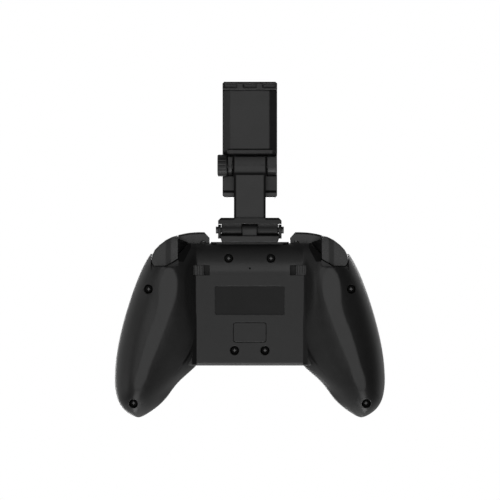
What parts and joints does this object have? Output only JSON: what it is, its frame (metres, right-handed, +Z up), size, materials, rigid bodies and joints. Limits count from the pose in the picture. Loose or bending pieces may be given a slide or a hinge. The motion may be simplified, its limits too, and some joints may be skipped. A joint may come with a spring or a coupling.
{
  "type": "gamepad",
  "caption": "Gamepad with two grips, thumbsticks, triggers and bumpers, and a folding sprung phone clamp on its top edge.",
  "frame": {"origin": "under the middle of the whole object, on the table that the two grips rest on", "axes": "+X to the player's right, +Y from the grips towards the triggers and the clip, +Z up out of the face"},
  "size_m": [0.1554, 0.193, 0.0549],
  "materials": {
    "shell": "fine matt moulded grain",
    "gloss": "polished",
    "key": "semi gloss",
    "clip": "fine matt moulded grain",
    "rubber": "matt",
    "silicone": "matt",
    "steel": "plain",
    "dark_steel": "blackened",
    "board": "solder resist",
    "cell": "film",
    "light": "frosted",
    "weight": "machined"
  },
  "bodies": {
    "pad": {"rear_shell": "shell", "front_shell": "shell", "shell_screws": "dark_steel", "bay_cover": "shell", "top_insert": "gloss", "usb_port": "steel", "main_board": "board", "battery_pack": "cell", "left_rumble_motor": "steel", "right_rumble_motor": "steel", "left_stick_base": "dark_steel", "right_stick_base": "dark_steel", "cluster_membrane": "silicone", "direction_membrane": "silicone", "light_guide": "light", "trigger_pins": "steel", "bumper_pins": "steel", "clip_base": "clip", "hinge_pin": "dark_steel"},
    "left_stop_switch": {"left_stop_switch": "key"},
    "left_trigger": {"left_trigger": "key"},
    "left_bumper": {"left_bumper": "key"},
    "left_motor_weight": {"left_motor_weight": "weight"},
    "right_stop_switch": {"right_stop_switch": "key"},
    "right_trigger": {"right_trigger": "key"},
    "right_bumper": {"right_bumper": "key"},
    "right_motor_weight": {"right_motor_weight": "weight"},
    "left_stick_carriage": {"left_stick_carriage": "key"},
    "left_stick_rocker": {"left_stick_rocker": "key"},
    "left_thumbstick": {"left_thumbstick": "rubber"},
    "right_stick_carriage": {"right_stick_carriage": "key"},
    "right_stick_rocker": {"right_stick_rocker": "key"},
    "right_thumbstick": {"right_thumbstick": "rubber"},
    "direction_plate": {"direction_plate": "key"},
    "direction_pad": {"direction_pad": "key"},
    "east_button": {"east_button": "key"},
    "north_button": {"north_button": "key"},
    "west_button": {"west_button": "key"},
    "south_button": {"south_button": "key"},
    "select_button": {"select_button": "key"},
    "start_button": {"start_button": "key"},
    "home_button": {"home_button": "key"},
    "clip_arm": {"clip_arm": "clip"},
    "clamp": {"clamp_body": "clip", "tilt_bolt": "dark_steel", "lower_jaw_pad": "rubber", "back_pad": "rubber"},
    "upper_jaw": {"upper_jaw": "clip", "upper_jaw_pad": "rubber"},
    "tilt_knob": {"tilt_knob": "clip"}
  },
  "joints": [
    {"name": "left_stop_slide", "type": "slide", "parent": "pad", "child": "left_stop_switch", "axis": [1, 0, 0], "range_m": [0, 0.0033]},
    {"name": "left_trigger_pull", "type": "hinge", "parent": "pad", "child": "left_trigger", "pos_m": [-0.0485, 0.00143, 0.0232], "axis": [-1, 0, 0], "range_deg": [0, 16], "stiffness_Nm_per_rad": 0.06, "springref_deg": -11.46},
    {"name": "left_bumper_press", "type": "hinge", "parent": "pad", "child": "left_bumper", "pos_m": [-0.027, 0.00332, 0.0313], "axis": [0, 0, 1], "range_deg": [0, 2.5], "stiffness_Nm_per_rad": 1, "springref_deg": -2.86},
    {"name": "left_motor_spin", "type": "hinge", "parent": "pad", "child": "left_motor_weight", "pos_m": [-0.057, -0.05237, 0.016], "axis": [0, 1, 0], "continuous": true},
    {"name": "right_stop_slide", "type": "slide", "parent": "pad", "child": "right_stop_switch", "axis": [-1, 0, 0], "range_m": [0, 0.0033]},
    {"name": "right_trigger_pull", "type": "hinge", "parent": "pad", "child": "right_trigger", "pos_m": [0.0485, 0.00143, 0.0232], "axis": [-1, 0, 0], "range_deg": [0, 16], "stiffness_Nm_per_rad": 0.06, "springref_deg": -11.46},
    {"name": "right_bumper_press", "type": "hinge", "parent": "pad", "child": "right_bumper", "pos_m": [0.027, 0.00332, 0.0313], "axis": [0, 0, -1], "range_deg": [0, 2.5], "stiffness_Nm_per_rad": 1, "springref_deg": -2.86},
    {"name": "right_motor_spin", "type": "hinge", "parent": "pad", "child": "right_motor_weight", "pos_m": [0.057, -0.05237, 0.016], "axis": [0, 1, 0], "continuous": true},
    {"name": "left_stick_click", "type": "slide", "parent": "pad", "child": "left_stick_carriage", "axis": [0, 0, -1], "range_m": [0, 0.0005], "stiffness_N_per_m": 900, "springref_m": -0.001},
    {"name": "left_stick_pitch", "type": "hinge", "parent": "left_stick_carriage", "child": "left_stick_rocker", "pos_m": [-0.038, -0.01702, 0.029], "axis": [1, 0, 0], "range_deg": [-16, 16], "stiffness_Nm_per_rad": 0.03},
    {"name": "left_stick_roll", "type": "hinge", "parent": "left_stick_rocker", "child": "left_thumbstick", "pos_m": [-0.038, -0.01702, 0.029], "axis": [0, 1, 0], "range_deg": [-16, 16], "stiffness_Nm_per_rad": 0.03},
    {"name": "right_stick_click", "type": "slide", "parent": "pad", "child": "right_stick_carriage", "axis": [0, 0, -1], "range_m": [0, 0.0005], "stiffness_N_per_m": 900, "springref_m": -0.001},
    {"name": "right_stick_pitch", "type": "hinge", "parent": "right_stick_carriage", "child": "right_stick_rocker", "pos_m": [0.0205, -0.04138, 0.029], "axis": [1, 0, 0], "range_deg": [-16, 16], "stiffness_Nm_per_rad": 0.03},
    {"name": "right_stick_roll", "type": "hinge", "parent": "right_stick_rocker", "child": "right_thumbstick", "pos_m": [0.0205, -0.04138, 0.029], "axis": [0, 1, 0], "range_deg": [-16, 16], "stiffness_Nm_per_rad": 0.03},
    {"name": "direction_pitch", "type": "hinge", "parent": "pad", "child": "direction_plate", "pos_m": [-0.0205, -0.04138, 0.033], "axis": [1, 0, 0], "range_deg": [-5, 5], "stiffness_Nm_per_rad": 0.05},
    {"name": "direction_roll", "type": "hinge", "parent": "direction_plate", "child": "direction_pad", "pos_m": [-0.0205, -0.04138, 0.033], "axis": [0, 1, 0], "range_deg": [-5, 5], "stiffness_Nm_per_rad": 0.05},
    {"name": "east_press", "type": "slide", "parent": "pad", "child": "east_button", "axis": [0, 0, -1], "range_m": [0, 0.0012], "stiffness_N_per_m": 500, "springref_m": -0.001},
    {"name": "north_press", "type": "slide", "parent": "pad", "child": "north_button", "axis": [0, 0, -1], "range_m": [0, 0.0012], "stiffness_N_per_m": 500, "springref_m": -0.001},
    {"name": "west_press", "type": "slide", "parent": "pad", "child": "west_button", "axis": [0, 0, -1], "range_m": [0, 0.0012], "stiffness_N_per_m": 500, "springref_m": -0.001},
    {"name": "south_press", "type": "slide", "parent": "pad", "child": "south_button", "axis": [0, 0, -1], "range_m": [0, 0.0012], "stiffness_N_per_m": 500, "springref_m": -0.001},
    {"name": "select_press", "type": "slide", "parent": "pad", "child": "select_button", "axis": [0, 0, -1], "range_m": [0, 0.0012], "stiffness_N_per_m": 500, "springref_m": -0.001},
    {"name": "start_press", "type": "slide", "parent": "pad", "child": "start_button", "axis": [0, 0, -1], "range_m": [0, 0.0012], "stiffness_N_per_m": 500, "springref_m": -0.001},
    {"name": "home_press", "type": "slide", "parent": "pad", "child": "home_button", "axis": [0, 0, -1], "range_m": [0, 0.0012], "stiffness_N_per_m": 500, "springref_m": -0.001},
    {"name": "clip_fold", "type": "hinge", "parent": "pad", "child": "clip_arm", "pos_m": [0, 0.01117, 0.015], "axis": [1, 0, 0], "range_deg": [0, 60]},
    {"name": "clamp_tilt", "type": "hinge", "parent": "clip_arm", "child": "clamp", "pos_m": [0, 0.04827, 0.018], "axis": [-1, 0, 0], "range_deg": [-8, 60]},
    {"name": "jaw_slide", "type": "slide", "parent": "clamp", "child": "upper_jaw", "axis": [0, 1, 0], "range_m": [0, 0.026], "stiffness_N_per_m": 250, "springref_m": -0.02},
    {"name": "knob_turn", "type": "hinge", "parent": "clamp", "child": "tilt_knob", "pos_m": [0.0157, 0.04827, 0.018], "axis": [1, 0, 0], "continuous": true}
  ]
}
